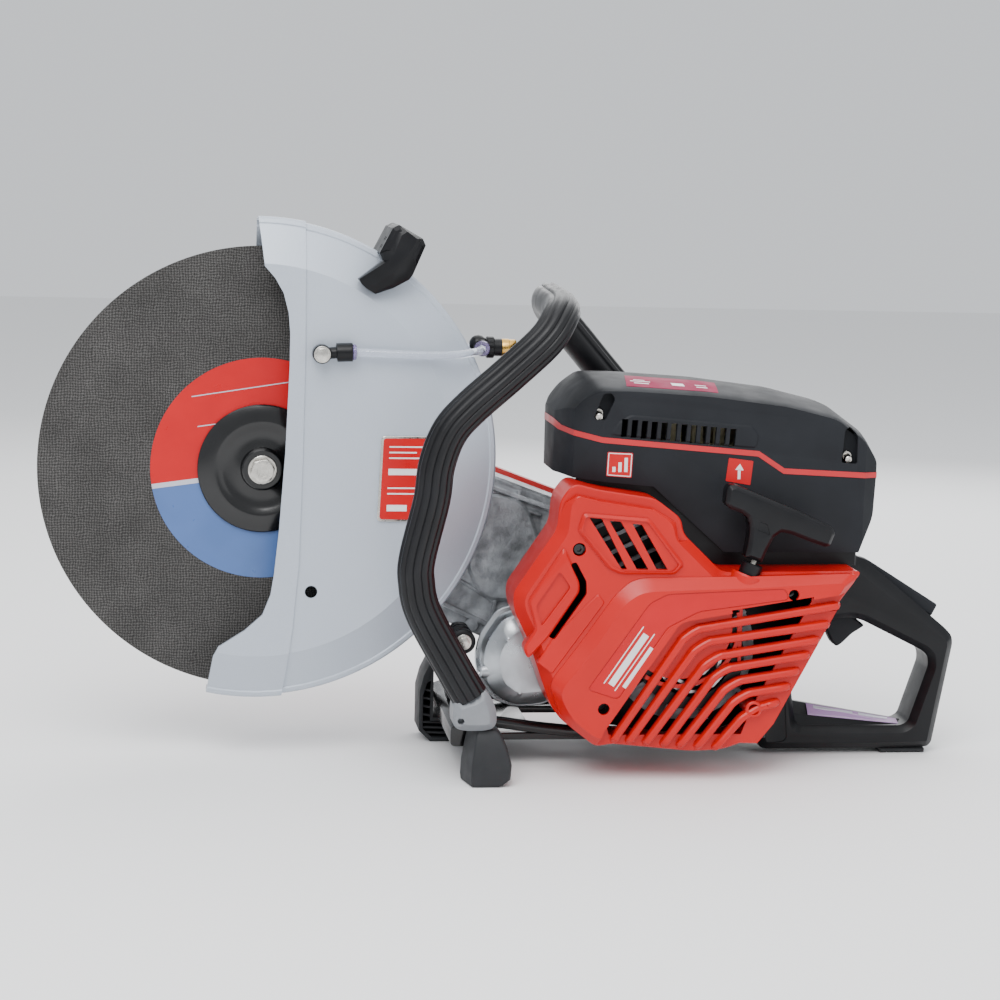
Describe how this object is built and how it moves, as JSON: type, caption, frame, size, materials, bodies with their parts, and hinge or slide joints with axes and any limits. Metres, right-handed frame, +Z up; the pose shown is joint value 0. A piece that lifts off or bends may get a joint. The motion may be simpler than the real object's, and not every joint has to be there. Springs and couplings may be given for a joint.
{
  "type": "rescue saw",
  "caption": "Petrol cut-off rescue saw with a guarded abrasive disc on a belt arm, wrap-around front handle, D rear handle and pull starter.",
  "frame": {"origin": "centre of the bounding box at the ground the feet stand on", "axes": "+X to the rear grip, -X to the disc, -Y the starter side, +Y the belt arm side, +Z up"},
  "size_m": [0.7516, 0.2386, 0.4324],
  "materials": {
    "abrasive": "coarse, woven mesh pattern",
    "black_steel": "gloss black",
    "zinc_steel": "zinc plated",
    "machined_steel": "machined",
    "guard_paint": "silver hammered paint",
    "cast_magnesium": "rough cast",
    "stamped_steel": "satin, stamped",
    "red_plastic": "semi gloss",
    "charcoal_plastic": "fine texture",
    "black_plastic": "satin",
    "grey_plastic": "satin",
    "grip_rubber": "matte, grooved",
    "foot_rubber": "matte",
    "clear_hose": "clear",
    "brass": "turned",
    "label_red": "printed",
    "filter_felt": "pleated",
    "rope": "braided",
    "tank_plastic": "translucent look"
  },
  "bodies": {
    "chassis": {"crankcase": "cast_magnesium", "main_bearing_near": "machined_steel", "main_bearing_far": "machined_steel", "cylinder": "cast_magnesium", "spark_plug": "zinc_steel", "muffler": "stamped_steel", "intake_boot": "grip_rubber", "carburettor": "cast_magnesium", "filter_cover": "charcoal_plastic", "cover_screw_front": "black_steel", "cover_screw_rear": "black_steel", "filter_base": "black_plastic", "air_filter": "filter_felt", "starter_cover": "red_plastic", "rope_guide": "black_plastic", "recoil_spring": "machined_steel", "starter_rope": "rope", "arm_casting": "cast_magnesium", "belt_cover": "red_plastic", "drive_belt": "grip_rubber", "spindle_bearing": "machined_steel", "base_plate": "black_plastic", "front_handle": "grip_rubber", "handle_clamp_near": "grey_plastic", "handle_clamp_far": "grey_plastic", "front_foot_near": "foot_rubber", "front_foot_far": "foot_rubber", "rear_handle": "black_plastic", "rear_foot_pad": "foot_rubber", "fuel_tank": "tank_plastic", "av_buffer": "grip_rubber", "bottom_bracket": "cast_magnesium"},
    "guard": {"guard_shell": "guard_paint", "guard_lever": "black_plastic", "guard_label_plate": "label_red", "water_elbow_near": "black_plastic", "water_elbow_far": "black_plastic", "water_line": "clear_hose", "water_coupling": "brass"},
    "wheel": {"abrasive_disc": "abrasive", "outer_flange": "black_steel", "inner_flange": "black_steel", "spindle_shaft": "machined_steel", "disc_bolt": "zinc_steel", "bolt_washer": "zinc_steel", "driven_pulley": "machined_steel"},
    "clutch": {"clutch_drum": "machined_steel"},
    "crank": {"crankshaft": "machined_steel", "flywheel": "cast_magnesium", "clutch_shoes": "machined_steel"},
    "piston_and_rod": {"piston": "cast_magnesium", "connecting_rod": "machined_steel"},
    "rope_drum": {"rope_drum": "black_plastic"},
    "starter_grip": {"starter_grip": "black_plastic"},
    "trigger": {"throttle_trigger": "charcoal_plastic"},
    "lock_lever": {"throttle_lock": "charcoal_plastic"},
    "fuel_cap": {"fuel_cap": "black_plastic"},
    "stop_switch": {"stop_switch": "label_red"},
    "choke": {"choke_lever": "black_plastic"},
    "decompression": {"decompression_button": "label_red"}
  },
  "joints": [
    {"name": "guard_tilt", "type": "hinge", "parent": "chassis", "child": "guard", "pos_m": [-0.1983, 0.005, 0.2329], "axis": [0, -1, 0], "range_deg": [-10, 45]},
    {"name": "disc_spin", "type": "hinge", "parent": "chassis", "child": "wheel", "pos_m": [-0.1983, 0.005, 0.2329], "axis": [0, 1, 0], "continuous": true},
    {"name": "drum_spin", "type": "hinge", "parent": "chassis", "child": "clutch", "pos_m": [0.135, -0.018, 0.1], "axis": [0, 1, 0], "continuous": true},
    {"name": "crank_spin", "type": "hinge", "parent": "chassis", "child": "crank", "pos_m": [0.135, -0.018, 0.1], "axis": [0, 1, 0], "continuous": true},
    {"name": "piston_stroke", "type": "slide", "parent": "chassis", "child": "piston_and_rod", "axis": [-0.4226, 0, 0.9063], "range_m": [-0.041, 0]},
    {"name": "rope_drum_spin", "type": "hinge", "parent": "chassis", "child": "rope_drum", "pos_m": [0.135, -0.0965, 0.1], "axis": [0, -1, 0], "range_deg": [0, 1200], "stiffness_Nm_per_rad": 0.02, "springref_deg": -687.55},
    {"name": "starter_pull", "type": "slide", "parent": "chassis", "child": "starter_grip", "axis": [0.342, 0, 0.9397], "range_m": [0, 0.8]},
    {"name": "throttle_squeeze", "type": "hinge", "parent": "chassis", "child": "trigger", "pos_m": [0.272, 0, 0.115], "axis": [0, -1, 0], "range_deg": [0, 14], "stiffness_Nm_per_rad": 0.15, "springref_deg": -22.92},
    {"name": "throttle_lock_press", "type": "hinge", "parent": "chassis", "child": "lock_lever", "pos_m": [0.298, 0, 0.158], "axis": [0, 1, 0], "range_deg": [0, 6], "stiffness_Nm_per_rad": 0.3, "springref_deg": -22.92},
    {"name": "fuel_cap_turn", "type": "hinge", "parent": "chassis", "child": "fuel_cap", "pos_m": [0.229, 0.09, 0.092], "axis": [0, 1, 0], "range_deg": [0, 90]},
    {"name": "stop_switch_slide", "type": "slide", "parent": "chassis", "child": "stop_switch", "axis": [0.9701, 0, -0.2425], "range_m": [0, 0.006]},
    {"name": "choke_turn", "type": "hinge", "parent": "chassis", "child": "choke", "pos_m": [0.24, 0.025, 0.158], "axis": [0, -1, 0], "range_deg": [0, 50]},
    {"name": "decompression_press", "type": "slide", "parent": "chassis", "child": "decompression", "axis": [0.9063, 0, 0.4226], "range_m": [0, 0.004], "stiffness_N_per_m": 400, "springref_m": -0.004}
  ],
  "couplings": [
    {"joint": "drum_spin", "follows": "disc_spin", "ratio": 2},
    {"joint": "starter_pull", "follows": "rope_drum_spin", "m_per_rad": 0.038}
  ]
}
